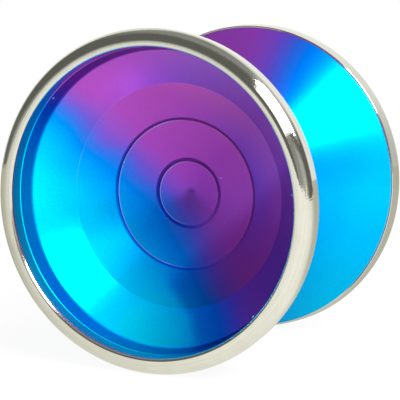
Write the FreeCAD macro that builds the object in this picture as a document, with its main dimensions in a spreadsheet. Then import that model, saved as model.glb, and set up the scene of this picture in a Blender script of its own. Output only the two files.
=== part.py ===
import FreeCAD, Part
import math
import os

import Sketcher

# A yo-yo of two turned aluminium halves with pressed-on steel rim rings, joined by a
# threaded axle and turning on a ball bearing between the halves. All sizes are in mm.
#
# Frame: the origin is the yo-yo's centre. +Y is the spin axis, from the front half (-Y)
# to the rear half (+Y). +Z is up, and the yo-yo stands on its two rims.
#
# Every piece is drawn as the rear one: "height" is the distance from the mid-plane
# along the spin axis, and "radius" the distance from that axis. Front pieces are the
# same pieces turned half round about Z.

# ---------------------------------------------------------------- driving dimensions

SIZES = {
    # the yo-yo as a whole
    "rim_diameter": 56.0,        # outside of the steel rings
    "overall_width": 46.0,       # between the outer faces of the two rings
    "gap_width": 4.3,            # between the flat hub faces, where the string runs
    # steel rim ring
    "ring_width": 2.95,          # radial, across its nose
    "ring_height": 4.43,         # axial, nose to back edge
    "ring_inner_round": 0.6,     # on the inner edge of the nose
    "ring_crest_land": 0.2,      # flat top of the nose, just outside that round
    "ring_crown_radius": 2.2,    # round between the flat top and the slope
    "ring_slope_angle": 21.4,    # of the slope, from a plane square to the spin axis
    "ring_slope_land": 0.47,     # straight part of the slope, before the outer round
    "ring_band": 0.1,            # straight part of the outside, behind the outer round
    "ring_skirt": 2.0,           # radial thickness where it grips the half
    "ring_taper": 0.25,          # how much smaller the back edge is in radius
    "ring_edge_radius": 0.15,    # round on the back edge
    "ring_land_gap": 0.05,       # seam between the ring and the end of the half's wall
    # aluminium half: rim
    "seat_height": 1.71,         # axial length of the ring's press seat
    "flange_step": 0.33,         # how far the flange stays inside the ring's back edge
    "flange_edge": 0.32,         # axial thickness of the flange's edge
    "wall_flare": 0.61,          # how much the cup's wall opens towards its mouth
    "wall_edge_chamfer": 0.18,   # bright edge at the top of the wall
    # aluminium half: cup
    "web_thickness": 1.23,       # between the cup's outer face and the string cone
    "facet_radius": 18.86,       # where the outer face meets the middle face
    "hub_line_radius": 12.73,    # where the middle face meets the hub face
    "middle_face_angle": 28.0,   # from a plane square to the spin axis
    "hub_face_angle": 13.0,
    "cup_corner_radius": 0.4,    # between the outer face and the wall
    "hub_line_width": 0.35,
    "hub_line_depth": 0.35,
    "centre_groove_radius": 5.72,
    "centre_groove_width": 0.5,
    "centre_groove_depth": 0.5,
    "groove_edge_chamfer": 0.1,
    # aluminium half: hub, string side
    "hub_rim_width": 0.5,        # flat between the pad's groove and the string cone
    "cone_root_radius": 0.9,     # round where the hub face turns into the cone
    "pad_groove_depth": 1.0,
    "pad_width": 2.4,            # radial
    "pad_recess": 0.05,          # how far the pad lies below the hub face
    "recess_wall": 0.45,         # between the bearing's recess and the pad's groove
    "recess_clearance": 0.3,     # round the outer race, and beside it
    "shoulder_width": 0.95,      # radial, the ledge that the inner race leans on
    "seat_clearance": 0.02,      # post to inner race, radial
    "post_gap": 0.5,             # between the ends of the two bearing posts
    "post_chamfer": 0.2,
    # axle
    "axle_diameter": 4.0,
    "axle_length": 8.0,
    "axle_chamfer": 0.4,
    "thread_pitch": 0.7,
    "thread_depth": 0.3,
    "thread_angle": 60.0,        # between the flanks of a groove
    "thread_clearance": 0.03,    # axle to its holes, radial
    "hole_end_gap": 0.2,         # beyond each end of the axle
    "socket_size": 2.0,          # hexagon, across its flats
    "socket_depth": 1.8,
    # ball bearing
    "bearing_bore": 6.35,
    "bearing_diameter": 12.7,
    "bearing_width": 4.762,
    "race_chamfer": 0.15,
    "raceway_radius": 0.84,
    "land_gap": 1.05,            # radial, between the two races beside the balls
    "ball_diameter": 1.5875,
    "ball_clearance": 0.02,      # ball to either raceway
    "ball_count": 10,
    "cage_thickness": 0.55,      # radial
    "cage_back": 1.4,            # from the balls' centres to the closed side
    "cage_front": 0.42,          # from the balls' centres to the open side
    "pocket_clearance": 0.06,    # ball to cage
    "shield_seat_depth": 0.6,    # from the race's side to the shield's shoulder
    "shield_seat_wall": 0.55,    # radial, outside the shield's seat
    "shield_thickness": 0.2,
    "shield_fit": 0.02,          # shield to its seat, radial
    "shield_clearance": 0.2,     # shield to inner race, radial
    "clip_thickness": 0.22,      # axial
    "clip_width": 0.34,          # radial
    "clip_groove_depth": 0.16,   # into the outer race
    "clip_gap_angle": 28.0,      # opening of the clip, in degrees
}

# ---------------------------------------------------------------- worked-out dimensions

WORKED_OUT = {
    "rim_radius": "rim_diameter / 2",
    "half_width": "overall_width / 2",
    "gap_half": "gap_width / 2",
    # rim
    "ring_bore": "rim_radius - ring_width",
    "ring_back": "half_width - ring_height",
    "ring_back_radius": "rim_radius - ring_taper",
    # a "reach" is how far a round runs along each of its two flanks
    "ring_crown_reach": "ring_crown_radius * tan(ring_slope_angle / 2 * 1 deg)",
    "ring_bend": "ring_bore + ring_inner_round + ring_crest_land + ring_crown_reach",
    "ring_slope": "tan(ring_slope_angle * 1 deg)",
    "ring_slope_foot": "half_width - ring_slope * (rim_radius - ring_bend)",
    "ring_slope_length": "(rim_radius - ring_bend) * sqrt(1 + ring_slope * ring_slope)",
    "ring_outer_reach": "ring_slope_length - ring_crown_reach - ring_slope_land",
    "ring_outer_round": "ring_outer_reach / tan((90 - ring_slope_angle) / 2 * 1 deg)",
    "ring_shoulder": "ring_slope_foot - ring_outer_reach - ring_band",
    "seat_radius": "rim_radius - ring_skirt",
    "seat_top": "ring_back + seat_height",
    "ring_land": "seat_top + ring_land_gap",
    "flange_radius": "ring_back_radius - flange_step",
    "cone_end": "ring_back - flange_edge",
    # bearing
    "bore_radius": "bearing_bore / 2",
    "race_radius": "bearing_diameter / 2",
    "bearing_half": "bearing_width / 2",
    "pitch_radius": "(bore_radius + race_radius) / 2",
    "ball_radius": "ball_diameter / 2",
    "inner_land": "pitch_radius - land_gap / 2",
    "outer_land": "pitch_radius + land_gap / 2",
    "raceway_shift": "raceway_radius - ball_radius - ball_clearance",
    "inner_raceway": "pitch_radius + raceway_shift",
    "outer_raceway": "pitch_radius - raceway_shift",
    "cage_inner": "pitch_radius - cage_thickness / 2",
    "cage_outer": "pitch_radius + cage_thickness / 2",
    "pocket_radius": "ball_radius + pocket_clearance",
    "shield_seat": "bearing_half - shield_seat_depth",
    "shield_seat_radius": "race_radius - shield_seat_wall",
    "shield_outer": "shield_seat_radius - shield_fit",
    "shield_inner": "inner_land + shield_clearance",
    "shield_face": "shield_seat + shield_thickness",
    "clip_face": "shield_face + clip_thickness",
    "clip_outer": "shield_seat_radius + clip_groove_depth",
    "clip_inner": "clip_outer - clip_width",
    "clip_sweep": "360 - clip_gap_angle",
    # hub, string side
    "post_radius": "bore_radius - seat_clearance",
    "post_end": "post_gap / 2",
    "shoulder_radius": "bore_radius + shoulder_width",
    "recess_floor": "bearing_half + recess_clearance",
    "recess_radius": "race_radius + recess_clearance",
    "pad_inner": "recess_radius + recess_wall",
    "pad_outer": "pad_inner + pad_width",
    "pad_floor": "gap_half + pad_groove_depth",
    "pad_face": "gap_half + pad_recess",
    "cone_start": "pad_outer + hub_rim_width",
    # cup: the outer face runs parallel to the string cone
    "cone_slope": "(cone_end - gap_half) / (flange_radius - cone_start)",
    "web_axial": "web_thickness * sqrt(1 + cone_slope * cone_slope)",
    "wall_base_radius": "ring_bore - wall_flare",
    "wall_base": "gap_half + cone_slope * (wall_base_radius - cone_start) + web_axial",
    "facet_height": "gap_half + cone_slope * (facet_radius - cone_start) + web_axial",
    "middle_slope": "tan(middle_face_angle * 1 deg)",
    "hub_slope": "tan(hub_face_angle * 1 deg)",
    "hub_line_height": "facet_height - middle_slope * (facet_radius - hub_line_radius)",
    "cup_centre": "hub_line_height - hub_slope * hub_line_radius",
    "hub_line_inner": "hub_line_radius - hub_line_width / 2",
    "hub_line_outer": "hub_line_radius + hub_line_width / 2",
    "hub_line_floor": "hub_line_height - hub_line_depth",
    "hub_line_top": "hub_line_height + hub_line_width",
    "centre_groove_inner": "centre_groove_radius - centre_groove_width / 2",
    "centre_groove_outer": "centre_groove_radius + centre_groove_width / 2",
    "centre_groove_height": "cup_centre + hub_slope * centre_groove_radius",
    "centre_groove_floor": "centre_groove_height - centre_groove_depth",
    "centre_groove_top": "centre_groove_height + centre_groove_width",
    # axle
    "axle_radius": "axle_diameter / 2",
    "axle_half": "axle_length / 2",
    "axle_hole_radius": "axle_radius + thread_clearance",
    "axle_hole_depth": "axle_half + hole_end_gap",
    "thread_root": "axle_radius - thread_depth",
    "thread_half_width": "thread_depth * tan(thread_angle / 2 * 1 deg)",
    "thread_turns": "floor((axle_length - 2 * axle_chamfer) / thread_pitch)",
    "thread_span": "(thread_turns - 1) * thread_pitch",
    "thread_start": "-thread_span / 2",
    "thread_low": "thread_start - thread_half_width",
    "thread_high": "thread_start + thread_half_width",
    "socket_corner": "socket_size / (2 * cos(30 deg))",
    "socket_floor": "axle_half - socket_depth",
}

doc = FreeCAD.newDocument("YoYo")
sheet = doc.addObject("Spreadsheet::Sheet", "Dims")


def fill_sheet():
    """Write every dimension into the sheet: its name in column A, its value in column B."""
    row = 1
    for name, value in SIZES.items():
        sheet.set(f"A{row}", name)
        sheet.set(f"B{row}", str(value))
        sheet.setAlias(f"B{row}", name)
        row += 1
    for name, formula in WORKED_OUT.items():
        sheet.set(f"A{row}", name)
        sheet.set(f"B{row}", "=" + formula)
        sheet.setAlias(f"B{row}", name)
        row += 1
    doc.recompute()


def size(name):
    """Value of a cell; a leading minus sign turns it over."""
    value = getattr(sheet, name.lstrip("-"))
    number = float(getattr(value, "Value", value))
    return -number if name.startswith("-") else number


def cell(name):
    """Expression for a cell; a leading minus sign turns it over."""
    sign = "-" if name.startswith("-") else ""
    return sign + "Dims." + name.lstrip("-")


# ---------------------------------------------------------------- modelling helpers

ON_AXIS = "on_axis"
UP = FreeCAD.Vector(0, 0, 1)
ORIGIN = FreeCAD.Vector(0, 0, 0)
TURNED_ROUND = FreeCAD.Placement(ORIGIN, FreeCAD.Rotation(UP, 180))
SIDES = {"front": TURNED_ROUND, "rear": FreeCAD.Placement()}
EDGE_TOLERANCE = 0.02
SOCKET_SIDES = 6


def new_body(node):
    body = doc.addObject("PartDesign::Body", node)
    body.Label = node
    return body


def origin_feature(body, role):
    for feature in body.Origin.OriginFeatures:
        if feature.Role == role:
            return feature
    raise RuntimeError("no " + role + " in " + body.Label)


def new_sketch(body, name, role):
    sketch = body.newObject("Sketcher::SketchObject", name)
    sketch.AttachmentSupport = [(origin_feature(body, role), "")]
    sketch.MapMode = "FlatFace"
    return sketch


def fix(sketch, kind, geometry, point, name):
    """Hold one coordinate of a point at a cell's value, measured from the origin."""
    index = sketch.addConstraint(
        Sketcher.Constraint(kind, -1, 1, geometry, point, size(name)))
    sketch.setExpression(f"Constraints[{index}]", cell(name))


def draw_outline(sketch, corners):
    """Closed outline of straight edges; each corner is a pair of cell names."""
    spots = []
    for radius, height in corners:
        across = 0.0 if radius == ON_AXIS else size(radius)
        spots.append(FreeCAD.Vector(across, size(height), 0))
    first = sketch.GeometryCount
    count = len(spots)
    for i in range(count):
        sketch.addGeometry(Part.LineSegment(spots[i], spots[(i + 1) % count]), False)
    for i in range(count):
        following = first + (i + 1) % count
        sketch.addConstraint(Sketcher.Constraint("Coincident", first + i, 2, following, 1))
    for i, (radius, height) in enumerate(corners):
        if radius == ON_AXIS:
            sketch.addConstraint(Sketcher.Constraint("PointOnObject", first + i, 1, -2))
        else:
            fix(sketch, "DistanceX", first + i, 1, radius)
        fix(sketch, "DistanceY", first + i, 1, height)


def profile(body, name, *outlines):
    """Half section in the plane of the spin axis: across is radius, up is height."""
    sketch = new_sketch(body, name, "XY_Plane")
    for corners in outlines:
        draw_outline(sketch, corners)
    return sketch


def turn(body, name, sketch, sweep=None):
    turned = body.newObject("PartDesign::Revolution", name)
    turned.Profile = sketch
    turned.ReferenceAxis = (sketch, ["V_Axis"])
    turned.Angle = 360
    if sweep:
        turned.setExpression("Angle", cell(sweep))
    doc.recompute()
    return turned


def cut_turn(body, name, sketch):
    """Turn a profile and take it away; it has to remove something."""
    before = body.Shape.Volume
    groove = body.newObject("PartDesign::Groove", name)
    groove.Profile = sketch
    groove.ReferenceAxis = (sketch, ["V_Axis"])
    groove.Angle = 360
    doc.recompute()
    check_cut(body, name, before)
    return groove


def cut_pocket(body, name, sketch, length, reverse=False):
    before = body.Shape.Volume
    pocket = body.newObject("PartDesign::Pocket", name)
    pocket.Profile = sketch
    pocket.Reversed = reverse
    pocket.Length = size(length)
    pocket.setExpression("Length", cell(length))
    doc.recompute()
    check_cut(body, name, before)
    return pocket


def check_cut(body, name, before):
    if not body.Shape.Volume < before:
        raise RuntimeError(name + " removed nothing from " + body.Label)


def round_edges(feature, circles):
    """Names of the circular edges that lie at the given (radius, height) pairs."""
    names = []
    for radius, height in circles:
        found = None
        for number, edge in enumerate(feature.Shape.Edges, 1):
            curve = edge.Curve
            if not isinstance(curve, Part.Circle):
                continue
            off = max(abs(curve.Radius - radius), abs(curve.Center.y - height))
            if off < EDGE_TOLERANCE:
                found = f"Edge{number}"
        if not found:
            raise RuntimeError(f"{feature.Label}: no edge at {radius:.3f}, {height:.3f}")
        names.append(found)
    return names


def fillet(body, name, circles, radius):
    base = body.Tip
    rounded = body.newObject("PartDesign::Fillet", name)
    rounded.Base = (base, round_edges(base, circles))
    rounded.Radius = size(radius)
    rounded.setExpression("Radius", cell(radius))
    doc.recompute()
    return rounded


def chamfer(body, name, circles, width):
    base = body.Tip
    broken = body.newObject("PartDesign::Chamfer", name)
    broken.Base = (base, round_edges(base, circles))
    broken.Size = size(width)
    broken.setExpression("Size", cell(width))
    doc.recompute()
    return broken


# ---------------------------------------------------------------- aluminium halves

def make_half(side, placement):
    body = new_body(side + "_half")
    blank = profile(body, "HalfSection", [
        (ON_AXIS, "post_end"),
        ("post_radius", "post_end"),
        ("post_radius", "bearing_half"),
        ("shoulder_radius", "bearing_half"),
        ("shoulder_radius", "recess_floor"),
        ("recess_radius", "recess_floor"),
        ("recess_radius", "gap_half"),
        ("pad_inner", "gap_half"),
        ("pad_inner", "pad_floor"),
        ("pad_outer", "pad_floor"),
        ("pad_outer", "gap_half"),
        ("cone_start", "gap_half"),
        ("flange_radius", "cone_end"),
        ("flange_radius", "ring_back"),
        ("seat_radius", "ring_back"),
        ("seat_radius", "seat_top"),
        ("ring_bore", "seat_top"),
        ("wall_base_radius", "wall_base"),
        ("facet_radius", "facet_height"),
        ("hub_line_radius", "hub_line_height"),
        (ON_AXIS, "cup_centre"),
    ])
    turn(body, "HalfBlank", blank)

    lines = profile(
        body, "CupGrooves",
        [("hub_line_inner", "hub_line_floor"), ("hub_line_outer", "hub_line_floor"),
         ("hub_line_outer", "hub_line_top"), ("hub_line_inner", "hub_line_top")],
        [("centre_groove_inner", "centre_groove_floor"),
         ("centre_groove_outer", "centre_groove_floor"),
         ("centre_groove_outer", "centre_groove_top"),
         ("centre_groove_inner", "centre_groove_top")])
    cut_turn(body, "CupGrooveCut", lines)

    hole = new_sketch(body, "AxleHoleCircle", "XZ_Plane")
    hole.addGeometry(Part.Circle(ORIGIN, UP, size("axle_hole_radius")), False)
    hole.addConstraint(Sketcher.Constraint("Coincident", 0, 3, -1, 1))
    index = hole.addConstraint(
        Sketcher.Constraint("Radius", 0, size("axle_hole_radius")))
    hole.setExpression(f"Constraints[{index}]", cell("axle_hole_radius"))
    cut_pocket(body, "AxleHole", hole, "axle_hole_depth")

    slope = size("hub_slope")
    centre = size("cup_centre")
    groove_mouths = [
        (radius, centre + slope * radius)
        for radius in (size("centre_groove_inner"), size("centre_groove_outer"),
                       size("hub_line_inner"))]
    outer_mouth = size("hub_line_outer")
    rise = size("middle_slope") * (outer_mouth - size("hub_line_radius"))
    groove_mouths.append((outer_mouth, size("hub_line_height") + rise))
    chamfer(body, "GrooveEdges", groove_mouths, "groove_edge_chamfer")
    chamfer(body, "WallEdge", [(size("ring_bore"), size("seat_top"))], "wall_edge_chamfer")
    chamfer(body, "PostEdge", [(size("post_radius"), size("post_end"))], "post_chamfer")
    fillet(body, "CupCorner", [(size("wall_base_radius"), size("wall_base"))],
           "cup_corner_radius")
    fillet(body, "ConeRoot", [(size("cone_start"), size("gap_half"))], "cone_root_radius")
    body.Placement = placement
    return body


# ---------------------------------------------------------------- steel rim rings

def make_rim_ring(side, placement):
    body = new_body(side + "_rim_ring")
    section = profile(body, "RingSection", [
        ("seat_radius", "ring_back"),
        ("ring_back_radius", "ring_back"),
        ("rim_radius", "ring_shoulder"),
        ("rim_radius", "ring_slope_foot"),
        ("ring_bend", "half_width"),
        ("ring_bore", "half_width"),
        ("ring_bore", "ring_land"),
        ("seat_radius", "ring_land"),
    ])
    turn(body, "RingBlank", section)
    rounds = {
        "RingInnerEdge": ("ring_bore", "half_width", "ring_inner_round"),
        "RingCrown": ("ring_bend", "half_width", "ring_crown_radius"),
        "RingOuterEdge": ("rim_radius", "ring_slope_foot", "ring_outer_round"),
        "RingBackEdge": ("ring_back_radius", "ring_back", "ring_edge_radius"),
    }
    for name, (radius, height, round_size) in rounds.items():
        fillet(body, name, [(size(radius), size(height))], round_size)
    body.Placement = placement
    return body


# ---------------------------------------------------------------- response pads

def make_response_pad(side, placement):
    body = new_body(side + "_response_pad")
    section = profile(body, "PadSection", [
        ("pad_inner", "pad_face"), ("pad_outer", "pad_face"),
        ("pad_outer", "pad_floor"), ("pad_inner", "pad_floor")])
    turn(body, "PadRing", section)
    body.Placement = placement
    return body


# ---------------------------------------------------------------- axle

def make_axle():
    """Headless stud with ring-shaped thread crests and a hexagon socket in its rear end."""
    body = new_body("axle")
    section = profile(body, "AxleSection", [
        (ON_AXIS, "-axle_half"), ("axle_radius", "-axle_half"),
        ("axle_radius", "axle_half"), (ON_AXIS, "axle_half")])
    turn(body, "AxleBlank", section)
    ends = [(size("axle_radius"), size("axle_half")), (size("axle_radius"), -size("axle_half"))]
    chamfer(body, "AxleEnds", ends, "axle_chamfer")

    thread = profile(body, "ThreadSection", [
        ("axle_radius", "thread_low"), ("axle_radius", "thread_high"),
        ("thread_root", "thread_start")])
    first_turn = cut_turn(body, "ThreadGroove", thread)
    before = body.Shape.Volume
    turns = body.newObject("PartDesign::LinearPattern", "ThreadTurns")
    turns.Originals = [first_turn]
    turns.Direction = (origin_feature(body, "Y_Axis"), [""])
    turns.Length = size("thread_span")
    turns.Occurrences = int(size("thread_turns"))
    turns.setExpression("Length", cell("thread_span"))
    turns.setExpression("Occurrences", cell("thread_turns"))
    body.Tip = turns
    doc.recompute()
    check_cut(body, "ThreadTurns", before)

    hexagon = new_sketch(body, "SocketHexagon", "XZ_Plane")
    corner = size("socket_corner")
    angles = [2 * math.pi * i / SOCKET_SIDES for i in range(SOCKET_SIDES)]
    spots = [FreeCAD.Vector(corner * math.cos(a), corner * math.sin(a), 0) for a in angles]
    for start, end in zip(spots, spots[1:] + spots[:1]):
        hexagon.addGeometry(Part.LineSegment(start, end), False)
    outline = hexagon.addGeometry(Part.Circle(ORIGIN, UP, corner), True)
    hexagon.addConstraint(Sketcher.Constraint("Coincident", outline, 3, -1, 1))
    index = hexagon.addConstraint(Sketcher.Constraint("Radius", outline, corner))
    hexagon.setExpression(f"Constraints[{index}]", cell("socket_corner"))
    for i in range(SOCKET_SIDES):
        following = (i + 1) % SOCKET_SIDES
        hexagon.addConstraint(Sketcher.Constraint("Coincident", i, 2, following, 1))
        hexagon.addConstraint(Sketcher.Constraint("PointOnObject", i, 1, outline))
    for i in range(SOCKET_SIDES - 1):
        hexagon.addConstraint(Sketcher.Constraint("Equal", i, i + 1))
    hexagon.addConstraint(Sketcher.Constraint("PointOnObject", 0, 1, -1))
    hexagon.AttachmentOffset = FreeCAD.Placement(
        FreeCAD.Vector(0, 0, -size("axle_half")), FreeCAD.Rotation())
    hexagon.setExpression("AttachmentOffset.Base.z", cell("-axle_half"))
    cut_pocket(body, "HexSocket", hexagon, "socket_depth", reverse=True)
    return body


# ---------------------------------------------------------------- ball bearing

def cut_raceway(body, centre):
    """Groove of a ball's track in a race, centred on the mid-plane."""
    track = new_sketch(body, "RacewayCircle", "XY_Plane")
    middle = FreeCAD.Vector(size(centre), 0, 0)
    track.addGeometry(Part.Circle(middle, UP, size("raceway_radius")), False)
    track.addConstraint(Sketcher.Constraint("PointOnObject", 0, 3, -1))
    fix(track, "DistanceX", 0, 3, centre)
    index = track.addConstraint(Sketcher.Constraint("Radius", 0, size("raceway_radius")))
    track.setExpression(f"Constraints[{index}]", cell("raceway_radius"))
    cut_turn(body, "Raceway", track)


def make_inner_race():
    body = new_body("bearing_inner_race")
    section = profile(body, "InnerRaceSection", [
        ("bore_radius", "-bearing_half"), ("inner_land", "-bearing_half"),
        ("inner_land", "bearing_half"), ("bore_radius", "bearing_half")])
    turn(body, "InnerRaceBlank", section)
    edges = [(size("bore_radius"), side * size("bearing_half")) for side in (-1, 1)]
    chamfer(body, "BoreEdges", edges, "race_chamfer")
    cut_raceway(body, "inner_raceway")
    return body


def make_outer_race():
    body = new_body("bearing_outer_race")
    section = profile(body, "OuterRaceSection", [
        ("race_radius", "-bearing_half"), ("race_radius", "bearing_half"),
        ("shield_seat_radius", "bearing_half"), ("shield_seat_radius", "clip_face"),
        ("clip_outer", "clip_face"), ("clip_outer", "shield_face"),
        ("shield_seat_radius", "shield_face"), ("shield_seat_radius", "shield_seat"),
        ("outer_land", "shield_seat"), ("outer_land", "-shield_seat"),
        ("shield_seat_radius", "-shield_seat"), ("shield_seat_radius", "-shield_face"),
        ("clip_outer", "-shield_face"), ("clip_outer", "-clip_face"),
        ("shield_seat_radius", "-clip_face"), ("shield_seat_radius", "-bearing_half")])
    turn(body, "OuterRaceBlank", section)
    edges = [(size("race_radius"), side * size("bearing_half")) for side in (-1, 1)]
    chamfer(body, "RaceEdges", edges, "race_chamfer")
    cut_raceway(body, "outer_raceway")
    return body


def make_ball_cage():
    """Crown cage: a band whose pockets open on its front side."""
    body = new_body("ball_cage")
    section = profile(body, "CageSection", [
        ("cage_inner", "-cage_front"), ("cage_outer", "-cage_front"),
        ("cage_outer", "cage_back"), ("cage_inner", "cage_back")])
    turn(body, "CageBand", section)
    before = body.Shape.Volume
    pocket = body.newObject("PartDesign::SubtractiveSphere", "BallPocket")
    pocket.Radius = size("pocket_radius")
    pocket.setExpression("Radius", cell("pocket_radius"))
    pocket.AttachmentSupport = [(origin_feature(body, "XY_Plane"), "")]
    pocket.MapMode = "FlatFace"
    pocket.AttachmentOffset = FreeCAD.Placement(
        FreeCAD.Vector(size("pitch_radius"), 0, 0), FreeCAD.Rotation())
    pocket.setExpression("AttachmentOffset.Base.x", cell("pitch_radius"))
    doc.recompute()
    check_cut(body, "BallPocket", before)
    before = body.Shape.Volume
    pockets = body.newObject("PartDesign::PolarPattern", "BallPockets")
    pockets.Originals = [pocket]
    pockets.Axis = (origin_feature(body, "Y_Axis"), [""])
    pockets.Angle = 360
    pockets.Occurrences = int(size("ball_count"))
    pockets.setExpression("Occurrences", cell("ball_count"))
    body.Tip = pockets
    doc.recompute()
    check_cut(body, "BallPockets", before)
    return body


def make_balls():
    balls = []
    count = int(size("ball_count"))
    for i in range(count):
        node = f"ball_{i + 1:02d}"
        ball = doc.addObject("Part::Sphere", node)
        ball.Label = node
        ball.setExpression("Radius", cell("ball_radius"))
        turn_angle = f"{i} * 360 deg / Dims.ball_count"
        ball.setExpression("Placement.Base.x", f"Dims.pitch_radius * cos({turn_angle})")
        ball.setExpression("Placement.Base.z", f"-Dims.pitch_radius * sin({turn_angle})")
        balls.append(ball)
    doc.recompute()
    return balls


def make_shield(side, placement):
    body = new_body(side + "_shield")
    section = profile(body, "ShieldSection", [
        ("shield_inner", "shield_seat"), ("shield_outer", "shield_seat"),
        ("shield_outer", "shield_face"), ("shield_inner", "shield_face")])
    turn(body, "ShieldDisc", section)
    body.Placement = placement
    return body


def make_shield_clip(side, placement):
    """Open ring of flat wire, sprung into the groove of the outer race."""
    body = new_body(side + "_shield_clip")
    section = profile(body, "ClipSection", [
        ("clip_inner", "shield_face"), ("clip_outer", "shield_face"),
        ("clip_outer", "clip_face"), ("clip_inner", "clip_face")])
    turn(body, "ClipRing", section, sweep="clip_sweep")
    body.Placement = placement
    return body


# ---------------------------------------------------------------- whole yo-yo

def check_document():
    for item in doc.Objects:
        if "Invalid" in item.State or "Error" in item.State:
            raise RuntimeError("failed feature: " + item.Label)


def check_shape(part):
    shape = part.Shape
    if shape.isNull() or not shape.isValid() or len(shape.Solids) != 1:
        raise RuntimeError("bad shape: " + part.Label)


fill_sheet()
pieces = [make_axle(), make_inner_race(), make_outer_race(), make_ball_cage()]
pieces += make_balls()
for side, placement in SIDES.items():
    pieces.append(make_half(side, placement))
    pieces.append(make_rim_ring(side, placement))
    pieces.append(make_response_pad(side, placement))
    pieces.append(make_shield(side, placement))
    pieces.append(make_shield_clip(side, placement))
doc.recompute()

check_document()
for piece in pieces:
    check_shape(piece)
os.makedirs("parts", exist_ok=True)
for piece in pieces:
    piece.Shape.exportStep(os.path.join("parts", piece.Label + ".step"))
    print(f"{piece.Label}: {piece.Shape.Volume:.2f} mm3")
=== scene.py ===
"""Looks of the yo-yo: anodised aluminium halves with a blue-to-purple fade, polished steel
rings, a ball bearing and silicone pads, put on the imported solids, with a floor, lamps and a
camera. Metres unless a comment says mm or degrees, +Z up, spin axis Y."""
import math

import bpy
from mathutils import Matrix, Vector


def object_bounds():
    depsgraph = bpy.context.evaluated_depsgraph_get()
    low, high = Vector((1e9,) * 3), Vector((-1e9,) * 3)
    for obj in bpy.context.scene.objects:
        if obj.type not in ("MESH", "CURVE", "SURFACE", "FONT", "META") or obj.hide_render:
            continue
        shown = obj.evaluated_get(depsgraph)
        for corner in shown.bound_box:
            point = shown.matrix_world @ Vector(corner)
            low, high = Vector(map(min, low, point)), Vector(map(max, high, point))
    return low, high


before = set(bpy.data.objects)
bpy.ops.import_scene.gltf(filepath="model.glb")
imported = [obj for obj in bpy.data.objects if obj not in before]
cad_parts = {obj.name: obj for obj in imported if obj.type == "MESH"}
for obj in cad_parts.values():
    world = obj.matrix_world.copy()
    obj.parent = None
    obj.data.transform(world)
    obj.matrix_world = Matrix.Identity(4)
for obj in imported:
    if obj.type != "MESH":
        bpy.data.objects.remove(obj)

CAD_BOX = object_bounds()
FLOOR_Z = CAD_BOX[0][2]
MM = 0.001


def rgb(red, green, blue):
    return (red, green, blue, 1.0)


WHITE, BLACK = rgb(1.0, 1.0, 1.0), rgb(0.0, 0.0, 0.0)

# ---------------------------------------------------------------- camera
# Fitted to the photograph's circles. The azimuth runs from -Y towards +X.
CAMERA_AZIMUTH = math.radians(24.81)
CAMERA_ELEVATION = math.radians(7.41)
CAMERA_DISTANCE = 0.2654
CAMERA_ASIDE = 0.001036
CAMERA_BELOW = 0.001990
SENSOR_WIDTH, LENS = 36.0, 138.06
CLIP_START, CLIP_END = 0.01, 20.0

FORWARD = Vector((-math.sin(CAMERA_AZIMUTH) * math.cos(CAMERA_ELEVATION),
                  math.cos(CAMERA_AZIMUTH) * math.cos(CAMERA_ELEVATION),
                  -math.sin(CAMERA_ELEVATION)))
RIGHT = Vector((math.cos(CAMERA_AZIMUTH), math.sin(CAMERA_AZIMUTH), 0.0))
UP = RIGHT.cross(FORWARD)
# Level, from the object towards the camera.
AHEAD = Vector((math.sin(CAMERA_AZIMUTH), -math.cos(CAMERA_AZIMUTH), 0.0))


def make_camera():
    data = bpy.data.cameras.new("camera")
    data.sensor_width, data.lens = SENSOR_WIDTH, LENS
    data.clip_start, data.clip_end = CLIP_START, CLIP_END
    camera = bpy.data.objects.new("camera", data)
    bpy.context.scene.collection.objects.link(camera)
    place = -(RIGHT * CAMERA_ASIDE + UP * CAMERA_BELOW + FORWARD * CAMERA_DISTANCE)
    turn = Matrix((RIGHT, UP, -FORWARD)).transposed()
    camera.matrix_world = Matrix.Translation(place) @ turn.to_4x4()
    bpy.context.scene.camera = camera


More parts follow.
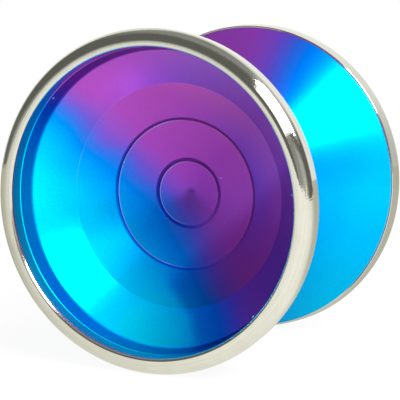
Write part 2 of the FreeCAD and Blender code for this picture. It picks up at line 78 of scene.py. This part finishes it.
# ---------------------------------------------------------------- node helpers
class Graph:
    """Small wrapper round a node tree: each call adds nodes and returns an output."""

    def __init__(self, tree):
        self.tree = tree
        self.tree.nodes.clear()

    def node(self, kind, inputs=(), **settings):
        """One new node. inputs are its sockets' values or sources, in order or by key."""
        made = self.tree.nodes.new(kind)
        for name, value in settings.items():
            setattr(made, name, value)
        pairs = inputs.items() if isinstance(inputs, dict) else enumerate(inputs)
        for key, value in pairs:
            if isinstance(value, bpy.types.NodeSocket):
                self.tree.links.new(value, made.inputs[key])
            else:
                made.inputs[key].default_value = value
        return made

    def math(self, operation, *values):
        return self.node("ShaderNodeMath", values, operation=operation).outputs[0]

    def add(self, first, *others):
        for other in others:
            first = self.math("ADD", first, other)
        return first

    def minus(self, first, *others):
        for other in others:
            first = self.math("SUBTRACT", first, other)
        return first

    def times(self, first, *others):
        for other in others:
            first = self.math("MULTIPLY", first, other)
        return first

    def absolute(self, value):
        return self.math("ABSOLUTE", value)

    def reach(self, first, second):
        """Length of a vector with these two parts."""
        return self.math("SQRT", self.add(self.times(first, first),
                                          self.times(second, second)))

    def remap(self, value, low, high, to_low=0.0, to_high=1.0, smooth=False):
        kind = "SMOOTHSTEP" if smooth else "LINEAR"
        return self.node("ShaderNodeMapRange", (value, low, high, to_low, to_high),
                         interpolation_type=kind, clamp=True).outputs[0]

    def mix(self, factor, first, second, blend="MIX"):
        """Mix of two colours."""
        return self.node("ShaderNodeMix", {0: factor, 6: first, 7: second},
                         data_type="RGBA", blend_type=blend).outputs[2]

    def mix_values(self, factor, first, second):
        return self.node("ShaderNodeMix", {0: factor, 2: first, 3: second}).outputs[0]

    def mix_vectors(self, factor, first, second):
        return self.node("ShaderNodeMix", {0: factor, 4: first, 5: second},
                         data_type="VECTOR").outputs[1]

    def stain(self, colour, tint, factor=1.0):
        """The colour multiplied by a tint."""
        return self.mix(factor, colour, tint, "MULTIPLY")

    def shade(self, colour, tone):
        """The colour multiplied by a single value."""
        grey = self.node("ShaderNodeCombineColor", (tone, tone, tone)).outputs[0]
        return self.stain(colour, grey)

    def split(self, vector):
        return self.node("ShaderNodeSeparateXYZ", (vector,)).outputs

    def join(self, x, y, z):
        return self.node("ShaderNodeCombineXYZ", (x, y, z)).outputs[0]

    def distance(self, place, point):
        """Distance in metres from a point that is given in mm."""
        return self.node("ShaderNodeVectorMath", (place, tuple(MM * v for v in point)),
                         operation="DISTANCE").outputs["Value"]

    def noise(self, vector, scale, detail=3.0, rough=0.6):
        return self.node("ShaderNodeTexNoise", {
            "Vector": vector, "Scale": scale, "Detail": detail,
            "Roughness": rough}).outputs["Fac"]

    def ramp(self, value, stops):
        made = self.node("ShaderNodeValToRGB", (value,))
        elements = made.color_ramp.elements
        while len(elements) > 1:
            elements.remove(elements[-1])
        elements[0].position, elements[0].color = stops[0]
        for place, colour in stops[1:]:
            elements.new(place).color = colour
        return made.outputs[0]

    def bump(self, height, distance, below=None):
        inputs = {"Strength": 1.0, "Distance": distance, "Height": height}
        if below is not None:
            inputs["Normal"] = below
        return self.node("ShaderNodeBump", inputs).outputs[0]

    def texture_place(self, output):
        return self.node("ShaderNodeTexCoord").outputs[output]


def new_material(name):
    material = bpy.data.materials.new(name)
    material.use_nodes = True
    return material, Graph(material.node_tree)


def principled(g, inputs):
    shader = g.node("ShaderNodeBsdfPrincipled", inputs)
    g.node("ShaderNodeOutputMaterial", (shader.outputs[0],))


def polar(g):
    """Object position in metres, and in mm its three parts and its distance from the spin
    axis, with its angle round that axis."""
    place = g.texture_place("Object")
    x, y, z = (g.times(part, 1.0 / MM) for part in g.split(place))
    return place, x, y, z, g.reach(x, z), g.math("ARCTAN2", z, x)


# Between these values lies nearly all of a noise, most of it, and its middle.
NOISE_WIDE, NOISE_MIDDLE, NOISE_NARROW = (0.25, 0.75), (0.3, 0.7), (0.35, 0.65)
# Lathe lines: how fast they change round the turn, how much coarser the broad ones are than
# the fine ones, and the share of each.
TURN_RATE, BROAD_SCALE = 0.6, 0.35
FINE_SHARE, BROAD_SHARE = 0.65, 0.35


def turning(g, radius, y, angle, pitch):
    """Lathe lines: fine rings that follow the profile, a little uneven round the turn."""
    rows = g.join(g.add(radius, y), g.minus(radius, y), g.times(angle, TURN_RATE))
    fine = g.noise(rows, 1.0 / pitch)
    broad = g.noise(rows, BROAD_SCALE / pitch, detail=1.0, rough=0.5)
    return g.add(g.times(fine, FINE_SHARE), g.times(broad, BROAD_SHARE))


# ---------------------------------------------------------------- anodised aluminium
# The dye's colours across the fade, by distance in mm from the line where it turns.
FADE = (
    (-25.0, rgb(0.430, 0.080, 0.370)), (-14.0, rgb(0.310, 0.046, 0.380)),
    (-5.0, rgb(0.310, 0.046, 0.420)), (-2.6, rgb(0.235, 0.056, 0.470)),
    (-1.2, rgb(0.160, 0.062, 0.520)), (0.0, rgb(0.090, 0.080, 0.580)),
    (1.3, rgb(0.032, 0.110, 0.640)), (3.0, rgb(0.0, 0.155, 0.700)),
    (6.5, rgb(0.0, 0.265, 0.840)), (10.4, rgb(0.0, 0.400, 0.900)),
    (15.0, rgb(0.0, 0.520, 0.950)))
FADE_LOW, FADE_HIGH = -26.0, 20.0
# How that line wanders and is mottled: noise scale per metre, and reach in mm.
DRIFT_SCALE, DRIFT = 70.0, 5.0
MOTTLE_SCALE, MOTTLE = 2600.0, 1.1
# A tongue of purple that runs out into the blue of the front cup, in mm.
BULGE_AT, BULGE_REACH, BULGE_DEPTH = (-12.5, -15.0, 8.5), 7.5, 3.6
# What the dye's colour is multiplied by along the line, by distance in mm from the axis: partly
# the dye's own depth, and partly painted light at the paler end and painted shade at the other.
DEPTH_AND_LIGHT_REACH = 25.0
DEPTH_AND_LIGHT = ((-25.0, rgb(0.85, 0.80, 0.75)), (-15.0, rgb(1.0, 1.15, 1.02)),
         (-8.0, rgb(1.05, 1.37, 1.38)), (0.0, rgb(1.03, 1.14, 1.20)),
         (25.0, rgb(1.75, 2.10, 1.50)))
# Where the blue turns to navy, along the line and across it, in mm, and its tints: partly the
# dye, partly painted shade.
NAVY_ALONG, NAVY_EDGE = (-11.5, -7.0), (5.8, 8.6)
NAVY_TINT, NAVY_BEYOND = rgb(0.80, 0.62, 0.82), rgb(1.0, 1.20, 1.08)

# The cup's side of the web: above a cone of this slope and height, and above the hub.
WEB_SLOPE, WEB_HEIGHT, CUP_ABOVE = 0.922, -6.3, 6.5
# The turned lines in the cup: radius and half width, in mm.
CUP_LINES = ((5.72, 0.25), (12.73, 0.17))
# Their cuts are darkened with painted shade and their inner lips lightened with a painted
# highlight. Both are strongest on one side: the range of X in mm, and the strength at each end
# of it.
CUT_SHADE_TINT, CUT_RANGE, CUT_SHADE_STRENGTH = rgb(0.26, 0.28, 0.44), (-5.0, 4.0), (1.0, 0.7)
PALE_HIGHLIGHT_TINT, LIP_RANGE, LIP_HIGHLIGHT = rgb(0.46, 0.50, 1.0), (-4.0, 1.0), (0.65, 0.06)
LIP_HALF = 0.09
# Where a lip starts and ends to fade, and where a cut starts to, as shares of its half width.
LIP_SOFT, CUT_CORE = (0.6, 1.4), 0.6
# The edge between the cup's facets is drawn pale, a painted highlight that is stronger towards
# +Z: its radius, the half widths between which that highlight ends, how strong it is, and the
# range of Z over which it begins.
FACET_RADIUS, FACET_EDGE, FACET_HIGHLIGHT, FACET_RANGE = 18.86, (0.02, 0.09), 0.08, (-2.0, 6.0)
# Painted shade: the cup's wall, in the recess under the ring, is darkened outside this radius
# and below the wall's top.
WALL_RADIUS, WALL_BLEND = 24.4, 0.15
WALL_TOP, WALL_EDGE, WALL_SHADE_TINT = 20.1, 0.02, rgb(0.36, 0.28, 0.44)

BARE_METAL = rgb(0.72, 0.75, 0.80)
# Small knocks near the outer edges: cells per metre, the share left out, size as a share of
# a cell, and the radii in mm between which they begin.
KNOCK_SCALE, KNOCK_RARE, KNOCK_SIZE, KNOCK_FROM = 420.0, 0.93, 0.05, (24.3, 24.6)
# Small nicks in the front cup that show bare metal: where each lies and its size, in mm.
NICKS = ((-11.5, -8.7, 5.0, 0.28), (21.7, -14.7, 1.7, 0.26), (16.0, -16.9, -18.0, 0.30),
         (6.1, -7.4, 2.9, 0.13), (-18.8, -19.4, 16.2, 0.26), (3.4, -12.2, -17.6, 0.16))
# How much the mottle bends a nick's outline, and where it starts to end, as shares of its size.
NICK_WAVER, NICK_CORE = 0.2, 0.4

GRAIN_SCALE, GRAIN_TONES = 5200.0, (0.87, 1.10)
BLAST_SCALE, BLAST_HEIGHT = 7000.0, 3.0e-6
DYED_PITCH, DYED_LINE_HEIGHT, NICK_DEPTH = 0.11, 0.25e-6, 20.0e-6
DYED_METALLIC, DYED_ROUGHNESS = 0.62, (0.28, 0.34)


def dye(g, place, x, z, mottle, towards, offset, width, paler, tint):
    """The fade's colour at each place."""
    turn = math.radians(towards)
    side = g.add(g.times(x, math.cos(turn)), g.times(z, math.sin(turn)))
    drift = g.noise(place, DRIFT_SCALE, detail=2.0, rough=0.5)
    drift = g.times(g.minus(drift, 0.5), DRIFT)
    bulge = g.remap(g.distance(place, BULGE_AT), 0.0, MM * BULGE_REACH, BULGE_DEPTH, 0.0,
                    smooth=True)
    shift = g.minus(g.add(side, drift, mottle), offset, bulge)
    shift = g.math("DIVIDE", shift, width)
    fade = g.ramp(g.remap(shift, FADE_LOW, FADE_HIGH), [
        ((mm - FADE_LOW) / (FADE_HIGH - FADE_LOW), stop) for mm, stop in FADE])
    # The dye is paler and greener towards one end of that line and deeper towards the other:
    # partly its own thickness, partly painted light at the pale end and painted shade at the
    # deep end.
    end = g.add(g.times(x, -math.sin(turn) * paler), g.times(z, math.cos(turn) * paler))
    depth = g.ramp(g.remap(end, -DEPTH_AND_LIGHT_REACH, DEPTH_AND_LIGHT_REACH), [
        (0.5 + 0.5 * mm / DEPTH_AND_LIGHT_REACH, stop) for mm, stop in DEPTH_AND_LIGHT])
    fade = g.stain(g.stain(fade, depth), tint)
    # At the deeper end the blue also turns to navy over a short way, at its own line: partly
    # the dye, partly painted shade.
    deeper_and_shaded = g.remap(end, *NAVY_ALONG, 1.0, 0.0, smooth=True)
    navy = g.mix(g.remap(shift, *NAVY_EDGE, smooth=True), NAVY_TINT, NAVY_BEYOND)
    return g.mix(deeper_and_shaded, fade, g.stain(fade, navy))


def mark_cup(g, colour, x, y, z, radius):
    """The colour with the cup's turned lines, its facet edge and its wall: painted highlights
    on the lips and the facet edge, and painted shade in the cuts and on the wall.
    """
    out = g.absolute(y)
    above_web = g.math("GREATER_THAN", g.minus(out, g.times(radius, WEB_SLOPE)), WEB_HEIGHT)
    in_cup = g.times(above_web, g.math("GREATER_THAN", out, CUP_ABOVE))
    for line_radius, half in CUP_LINES:
        off = g.minus(radius, line_radius)
        # Painted highlight: a pale lip beside each cut, strongest towards -X.
        lip = g.absolute(g.add(off, half + LIP_HALF))
        lip = g.remap(lip, LIP_SOFT[0] * LIP_HALF, LIP_SOFT[1] * LIP_HALF, 1.0, 0.0)
        lip_lit = g.remap(x, *LIP_RANGE, *LIP_HIGHLIGHT, smooth=True)
        colour = g.mix(g.times(lip, in_cup, lip_lit), colour, PALE_HIGHLIGHT_TINT)
        # Painted shade: each cut darkened, most towards -X.
        cut = g.remap(g.absolute(off), CUT_CORE * half, half, 1.0, 0.0)
        dark = g.remap(x, *CUT_RANGE, *CUT_SHADE_STRENGTH, smooth=True)
        colour = g.stain(colour, CUT_SHADE_TINT, g.times(cut, dark, in_cup))
    # Painted highlight: a pale line on the facet edge, stronger towards +Z.
    edge = g.remap(g.absolute(g.minus(radius, FACET_RADIUS)), *FACET_EDGE, FACET_HIGHLIGHT, 0.0)
    upper = g.remap(z, *FACET_RANGE, smooth=True)
    colour = g.mix(g.times(edge, upper, in_cup), colour, PALE_HIGHLIGHT_TINT)
    # Painted shade: the wall under the ring is darkened.
    below_top = g.remap(out, WALL_TOP - WALL_EDGE, WALL_TOP, 1.0, 0.0)
    wall = g.remap(radius, WALL_RADIUS, WALL_RADIUS + WALL_BLEND)
    return g.stain(colour, WALL_SHADE_TINT, g.times(wall, in_cup, below_top))


def knocks(g, place, radius):
    """Where small knocks go through the dye, near the outer edges only."""
    cells = g.node("ShaderNodeTexVoronoi", {"Scale": KNOCK_SCALE, "Vector": place},
                   feature="F1")
    draw = g.node("ShaderNodeSeparateColor", (cells.outputs["Color"],)).outputs[0]
    rare = g.math("GREATER_THAN", draw, KNOCK_RARE)
    small = g.math("LESS_THAN", cells.outputs["Distance"], KNOCK_SIZE)
    return g.times(rare, small, g.remap(radius, *KNOCK_FROM))


def anodised(name, towards, offset, width, paler, tint=WHITE, nicks=()):
    """Dyed oxide on turned aluminium. The blue side lies towards an angle in degrees, from +X
    to +Z, and offset is how far that way the change of colour is from the axis, in mm. width
    stretches the change. The dye is thinner and paler a quarter turn further round where paler
    is over 0, and on the opposite side where it is under 0: partly its own thickness, partly
    painted light and painted shade. Its size is how strongly."""
    material, g = new_material(name)
    place, x, y, z, radius, angle = polar(g)
    mottle = g.times(g.minus(g.noise(place, MOTTLE_SCALE, detail=2.0), 0.5), MOTTLE)
    colour = dye(g, place, x, z, mottle, towards, offset, width, paler, tint)
    grain = g.noise(place, GRAIN_SCALE, rough=0.65)
    colour = g.shade(colour, g.remap(grain, *NOISE_WIDE, *GRAIN_TONES))
    colour = mark_cup(g, colour, x, y, z, radius)
    colour = g.mix(knocks(g, place, radius), colour, BARE_METAL)
    lines = turning(g, radius, y, angle, DYED_PITCH)
    blast = g.noise(place, BLAST_SCALE)
    normal = g.bump(lines, DYED_LINE_HEIGHT)
    normal = g.bump(blast, BLAST_HEIGHT, normal)
    if nicks:
        dents = 0.0
        for *middle, size in nicks:
            off = g.add(g.distance(place, middle), g.times(mottle, NICK_WAVER * MM * size))
            dent = g.remap(off, NICK_CORE * MM * size, MM * size, 1.0, 0.0, smooth=True)
            colour = g.mix(dent, colour, BARE_METAL)
            dents = g.add(dents, dent)
        normal = g.bump(g.minus(1.0, dents), NICK_DEPTH, normal)
    rough = g.remap(g.add(g.times(blast, 0.5), g.times(lines, 0.5)),
                    *NOISE_MIDDLE, *DYED_ROUGHNESS)
    principled(g, {"Base Color": colour, "Metallic": DYED_METALLIC, "Roughness": rough,
                   "Specular IOR Level": 0.0, "Normal": normal})
    return material


# ---------------------------------------------------------------- steel and silicone
# The ring's nose, in mm: the middle of its inner round, and the first and last radius of its
# crown, with the sine of the angle that the normal leans outwards by at each.
ROUND_RADIUS, ROUND_HEIGHT = 25.65, 22.4
CROWN = (25.85, 26.65, 0.0, 0.365)
NOSE_RADIUS = 27.05
# The radii in mm between which the ring's polishing marks begin, outside its inner round, and
# that round's own roughness.
MARKS_FROM, ROUND_ROUGHNESS = (25.7, 26.3), 0.13
# Scratches: how fast they change round the ring and across it, their noise's scale, the values
# of it at which they begin, and the height of their bump.
SCRATCH_ALONG, SCRATCH_ACROSS = 9.0, 7.0
SCRATCH_SCALE, SCRATCH_RARE, SCRATCH_DEPTH = 1.7, (0.58, 0.72), 0.4e-6
# Cross ripple left by polishing: short waves round the ring, long across it.
RIPPLE_ALONG, RIPPLE_ACROSS = 60.0, 0.8
# A haze, and how it and the lathe lines change the colour's tone. Then the share of the haze
# and of the scratches in the roughness.
HAZE_SCALE, HAZE_TONES, LINE_TONES = 260.0, (0.95, 1.03), (-0.06, 0.06)
HAZE_SHARE, MARKS_SHARE = 0.7, 0.3
# The bore is where the normal's part along the axis is smaller than this.
BORE_FACING = (0.05, 0.35)
# Silicone: a cloudiness and its two colours, and pores.
CLOUD_SCALE, PAD_DARKER, PAD_PALER = 500.0, rgb(0.70, 0.71, 0.70), rgb(0.84, 0.84, 0.82)
PORE_SCALE, PORE_DEPTH = 6000.0, 6.0e-6
PAD_ROUGHNESS, PAD_GLOW_DEPTH = (0.42, 0.58), 0.0006


def nose_normal(g, x, y, z, radius):
    """The exact normal on the ring's nose, and the mesh's own elsewhere."""
    out = g.math("MINIMUM", g.minus(radius, ROUND_RADIUS), 0.0)
    up = g.minus(g.absolute(y), ROUND_HEIGHT)
    lean = g.add(g.math("DIVIDE", out, g.reach(out, up)), g.remap(radius, *CROWN))
    rise = g.math("SQRT", g.minus(1.0, g.times(lean, lean)))
    on_nose = g.times(g.math("LESS_THAN", radius, NOSE_RADIUS),
                      g.math("GREATER_THAN", up, 0.0))
    spoke = g.math("DIVIDE", lean, radius)
    way = g.join(g.times(x, spoke), g.times(rise, g.math("SIGN", y)), g.times(z, spoke))
    exact = g.node("ShaderNodeVectorTransform", (way,), vector_type="NORMAL",
                   convert_from="OBJECT", convert_to="WORLD").outputs[0]
    plain = g.node("ShaderNodeNewGeometry").outputs["Normal"]
    return g.mix_vectors(on_nose, plain, exact)


def steel(name, base, rough=(0.05, 0.11), pitch=0.09, depth=0.7e-6, ripple=0.0, bore=None):
    """Polished steel: turning lines of a pitch in mm and a depth, and fine scratches. The ring
    also has a ripple left by polishing, of the given height, and a bore: its radius in mm,
    its colour, darker as painted shade, and its roughness."""
    material, g = new_material(name)
    place, x, y, z, radius, angle = polar(g)
    lines = turning(g, radius, y, angle, pitch)
    # Scratches run round the ring and stop short: long cells round, narrow across.
    rows = g.join(g.times(angle, SCRATCH_ALONG), g.times(radius, SCRATCH_ACROSS),
                  g.times(y, SCRATCH_ACROSS))
    marks = g.remap(g.noise(rows, SCRATCH_SCALE, detail=4.0, rough=0.7), *SCRATCH_RARE)
    haze = g.noise(place, HAZE_SCALE)
    # All of it fades out on the ring's inner round, which has an even polish.
    calm = g.remap(radius, *MARKS_FROM) if ripple else 1.0
    below = nose_normal(g, x, y, z, radius) if ripple else None
    normal = g.bump(g.times(lines, calm), depth, below)
    if ripple:
        waves = g.join(g.times(angle, RIPPLE_ALONG), g.times(radius, RIPPLE_ACROSS),
                       g.times(y, RIPPLE_ACROSS))
        normal = g.bump(g.times(g.noise(waves, 1.0, detail=2.0), calm), ripple, normal)
    normal = g.bump(g.times(marks, calm), SCRATCH_DEPTH, normal)
    wear = g.add(g.times(haze, HAZE_SHARE), g.times(marks, MARKS_SHARE))
    roughness = g.remap(wear, *NOISE_WIDE, *rough)
    if ripple:
        roughness = g.mix_values(calm, ROUND_ROUGHNESS, roughness)
    tone = g.add(g.remap(haze, *NOISE_MIDDLE, *HAZE_TONES),
                 g.remap(lines, *NOISE_NARROW, *LINE_TONES))
    colour = g.shade(base, tone)
    if bore:
        # The bore, where the surface faces the axis, is satin, and darker as painted shade.
        inner_radius, bore_shade_colour, satin = bore
        facing = g.absolute(g.split(g.texture_place("Normal"))[1])
        inside = g.times(g.math("LESS_THAN", radius, inner_radius),
                         g.remap(facing, *BORE_FACING, 1.0, 0.0))
        colour = g.mix(inside, colour, bore_shade_colour)
        roughness = g.mix_values(inside, roughness, satin)
    principled(g, {"Base Color": colour, "Metallic": 1.0, "Roughness": roughness,
                   "Normal": normal})
    return material


def silicone(name):
    """Translucent white silicone with a fine moulded grain and a slight cloudiness."""
    material, g = new_material(name)
    place = g.texture_place("Object")
    cloud = g.noise(place, CLOUD_SCALE)
    pores = g.noise(place, PORE_SCALE, detail=2.0, rough=0.5)
    principled(g, {"Base Color": g.mix(cloud, PAD_DARKER, PAD_PALER),
                   "Roughness": g.remap(cloud, *NOISE_MIDDLE, *PAD_ROUGHNESS),
                   "Subsurface Weight": 0.25, "Subsurface Radius": (1.0, 1.0, 0.9),
                   "Subsurface Scale": PAD_GLOW_DEPTH, "Normal": g.bump(pores, PORE_DEPTH)})
    return material


FINISHES = {
    "front_anodised": anodised("front_anodised_look", towards=221.5, offset=3.8, width=1.0,
                               paler=-1.0, nicks=NICKS),
    "rear_anodised": anodised("rear_anodised_look", towards=-19.5, offset=0.0, width=1.5,
                              paler=-0.3, tint=rgb(0.88, 0.82, 0.84)),
    # The rim steel's bore colour is darker: painted shade.
    "rim_steel": steel("rim_steel_look", rgb(0.74, 0.73, 0.66), ripple=3.5e-6,
                       bore=(25.3, rgb(0.42, 0.40, 0.42), 0.16)),
    "axle_steel": steel("axle_steel_look", rgb(0.36, 0.36, 0.37), rough=(0.28, 0.42),
                        pitch=0.12),
    "bearing_steel": steel("bearing_steel_look", rgb(0.62, 0.62, 0.62), rough=(0.10, 0.18),
                           pitch=0.05),
    "ball_steel": steel("ball_steel_look", rgb(0.72, 0.72, 0.73), rough=(0.03, 0.06),
                        pitch=0.05, depth=0.1e-6),
    "cage_steel": steel("cage_steel_look", rgb(0.55, 0.54, 0.52), rough=(0.22, 0.34),
                        pitch=0.08),
    "shield_steel": steel("shield_steel_look", rgb(0.60, 0.60, 0.59), rough=(0.18, 0.28),
                          pitch=0.06),
    "clip_steel": steel("clip_steel_look", rgb(0.42, 0.42, 0.44), rough=(0.16, 0.26),
                        pitch=0.06),
    "silicone": silicone("silicone_look"),
}


def dress_nodes():
    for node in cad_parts.values():
        for held in node.material_slots:
            held.material = FINISHES[held.material.name]


# ---------------------------------------------------------------- stage and light
# The softbox is a long strip that runs from the object's right, as the camera sees it, to
# above the camera and past it. Its places and ways are given as from_view takes them.
SOFTBOX_CENTRE = (0.016, 0.518, 0.298)
SOFTBOX_ALONG = (0.617, -0.784, 0.065)
SOFTBOX_ACROSS = (-0.543, -0.364, 0.757)
SOFTBOX_LENGTH, SOFTBOX_WIDTH = 0.97, 0.22
# Its panels' powers in watts, from its far end past the camera to the brightest, by the object.
SOFTBOX_POWERS = (0.36, 0.52, 3.2)
# What the steel shows of the room: middle and half width in longitude, lowest and highest
# latitude, how softly the sides and the top and bottom end, all in degrees, and brightness.
ROOM_BASE = 0.14
ROOM = (
    (20.0, 26.0, -20.0, 17.0, 16.0, 6.0, 0.50),     # stand and floor edge below the softbox
    (-66.0, 26.0, -20.0, 6.0, 9.0, 6.0, 0.42),      # the same, further left
    (0.0, 180.0, 48.0, 90.0, 1.0, 12.0, 0.31),      # ceiling
    (100.0, 55.0, 28.0, 62.0, 18.0, 5.0, 0.55),     # wall beside the softbox
    (66.0, 16.0, 34.0, 58.0, 14.0, 7.0, 1.05),      # and its light on that wall
    (180.0, 56.0, -20.0, 62.0, 14.0, 12.0, 0.92),   # white backdrop
    (-172.0, 30.0, -20.0, 34.0, 20.0, 14.0, 1.20),  # and the light that falls on it
)
ROOM_TINTS = ((0.0, BLACK), (ROOM_BASE, rgb(0.138, 0.142, 0.128)),
              (0.5, rgb(0.5, 0.51, 0.49)), (1.0, rgb(1.0, 1.0, 0.96)))
# A small warm bulb: longitude, latitude and half width in degrees.
BULB_LON, BULB_LAT, BULB_HALF = 22.0, 2.4, 3.4
BULB_COLOUR = rgb(1.25, 0.95, 0.62)

FLOOR_HALF = 1.6
FLOOR_CLOUD, FLOOR_ROUGHNESS = 30.0, 0.6
FLOOR_DARKER, FLOOR_PALER = rgb(0.90, 0.90, 0.86), rgb(0.93, 0.93, 0.89)
# Distances in metres over which the floor turns from lit to plain white, and how white it is.
WHITE_FROM, WHITE_SHARE = (0.03, 0.12), (0.93, 1.0)
# How bright the steel shows the floor, and how much more or less towards a longitude, which
# grows over a distance in metres. Then the tints for it, by share of the brightest.
FLOOR_SHOWN, FLOOR_LEAN, FLOOR_LEAN_LON, FLOOR_LEAN_FROM = 0.74, 0.44, 10.0, 0.05
FLOOR_BRIGHTEST = 1.25
FLOOR_TINTS = ((0.44, rgb(0.55, 0.54, 0.46)), (0.64, rgb(0.80, 0.79, 0.71)),
               (0.80, rgb(1.0, 1.0, 0.93)), (1.0, rgb(1.2, 1.18, 1.12)))


def from_view(right, ahead, up):
    """A vector given to the camera's right, level towards the camera, and up."""
    return RIGHT * right + AHEAD * ahead + Vector((0.0, 0.0, up))


def make_softbox():
    """Long flat lamp, in panels one after the other."""
    x = from_view(*SOFTBOX_ALONG).normalized()
    z = x.cross(from_view(*SOFTBOX_ACROSS)).normalized()
    middle = from_view(*SOFTBOX_CENTRE)
    if z.dot(middle) < 0.0:
        z = -z
    turn = Matrix((x, z.cross(x), z)).transposed().to_4x4()
    panel = SOFTBOX_LENGTH / len(SOFTBOX_POWERS)
    for i, power in enumerate(SOFTBOX_POWERS):
        data = bpy.data.lights.new("softbox", "AREA")
        data.shape = "RECTANGLE"
        data.size, data.size_y = panel, SOFTBOX_WIDTH
        data.energy = power
        lamp = bpy.data.objects.new("softbox", data)
        bpy.context.scene.collection.objects.link(lamp)
        along = (i + 0.5) * panel - SOFTBOX_LENGTH / 2.0
        lamp.matrix_world = Matrix.Translation(middle + x * along) @ turn
        lamp.visible_camera = False


def make_world():
    """Plain white for the camera, and a simple studio for reflections and light."""
    world = bpy.data.worlds.new("world")
    bpy.context.scene.world = world
    world.use_nodes = True
    g = Graph(world.node_tree)
    x, y, z = g.split(g.texture_place("Generated"))
    degrees = 180.0 / math.pi
    lat = g.times(g.math("ARCSINE", z), degrees)
    ahead = g.add(g.times(x, AHEAD.x), g.times(y, AHEAD.y))
    aside = g.add(g.times(x, RIGHT.x), g.times(y, RIGHT.y))
    lon = g.times(g.math("ARCTAN2", aside, ahead), degrees)
    tone = ROOM_BASE
    for middle, half, low, high, side_edge, edge, bright in ROOM:
        off = g.absolute(g.math("WRAP", g.minus(lon, middle), 180.0, -180.0))
        inside = g.remap(off, half - side_edge, half + side_edge, 1.0, 0.0, smooth=True)
        over = g.remap(lat, low - edge, low + edge, 0.0, 1.0, smooth=True)
        under = g.remap(lat, high - edge, high + edge, 1.0, 0.0, smooth=True)
        tone = g.mix_values(g.times(over, under, inside), tone, bright)
    colour = g.ramp(tone, ROOM_TINTS)
    off = g.reach(g.minus(lon, BULB_LON), g.minus(lat, BULB_LAT))
    glint = g.remap(off, 0.5 * BULB_HALF, 1.5 * BULB_HALF, 1.0, 0.0, smooth=True)
    colour = g.mix(glint, colour, BULB_COLOUR)
    seen = g.node("ShaderNodeLightPath").outputs["Is Camera Ray"]
    sky = g.node("ShaderNodeBackground", (g.mix(seen, colour, WHITE), 1.0)).outputs[0]
    g.node("ShaderNodeOutputWorld", (sky,))


def floor_look():
    """Matt and pale, with the object's shadow. It glows white where the camera sees it away
    from the object, and in its own tints for reflections."""
    material, g = new_material("floor_look")
    place = g.texture_place("Object")
    x, y, _ = g.split(place)
    colour = g.mix(g.noise(place, FLOOR_CLOUD, rough=0.5), FLOOR_DARKER, FLOOR_PALER)
    matt = g.node("ShaderNodeBsdfDiffuse", (colour, FLOOR_ROUGHNESS)).outputs[0]
    path = g.node("ShaderNodeLightPath")
    away = g.node("ShaderNodeVectorMath", (place,), operation="LENGTH").outputs["Value"]
    white = g.remap(away, *WHITE_FROM, *WHITE_SHARE, smooth=True)
    seen = g.times(path.outputs["Is Camera Ray"], white)
    glossy = path.outputs["Is Glossy Ray"]
    brightest = from_view(math.sin(math.radians(FLOOR_LEAN_LON)),
                          math.cos(math.radians(FLOOR_LEAN_LON)), 0.0)
    lean = g.add(g.times(x, brightest.x), g.times(y, brightest.y))
    lean = g.times(g.math("DIVIDE", lean, away),
                   g.remap(away, 0.0, FLOOR_LEAN_FROM, 0.0, FLOOR_LEAN))
    shown = g.math("DIVIDE", g.add(lean, FLOOR_SHOWN), FLOOR_BRIGHTEST)
    glow = g.node("ShaderNodeEmission", (g.mix(glossy, WHITE, g.ramp(shown, FLOOR_TINTS)),
                                         1.0)).outputs[0]
    share = g.math("MAXIMUM", seen, glossy)
    both = g.node("ShaderNodeMixShader", (share, matt, glow)).outputs[0]
    g.node("ShaderNodeOutputMaterial", (both,))
    return material


def make_floor():
    mesh = bpy.data.meshes.new("floor")
    corners = [(x * FLOOR_HALF, y * FLOOR_HALF, FLOOR_Z)
               for x, y in ((-1.0, -1.0), (1.0, -1.0), (1.0, 1.0), (-1.0, 1.0))]
    mesh.from_pydata(corners, [], [(0, 1, 2, 3)])
    mesh.materials.append(floor_look())
    floor = bpy.data.objects.new("floor", mesh)
    bpy.context.scene.collection.objects.link(floor)


dress_nodes()
make_camera()
make_world()
make_floor()
make_softbox()
bpy.context.scene.view_settings.view_transform = "Standard"
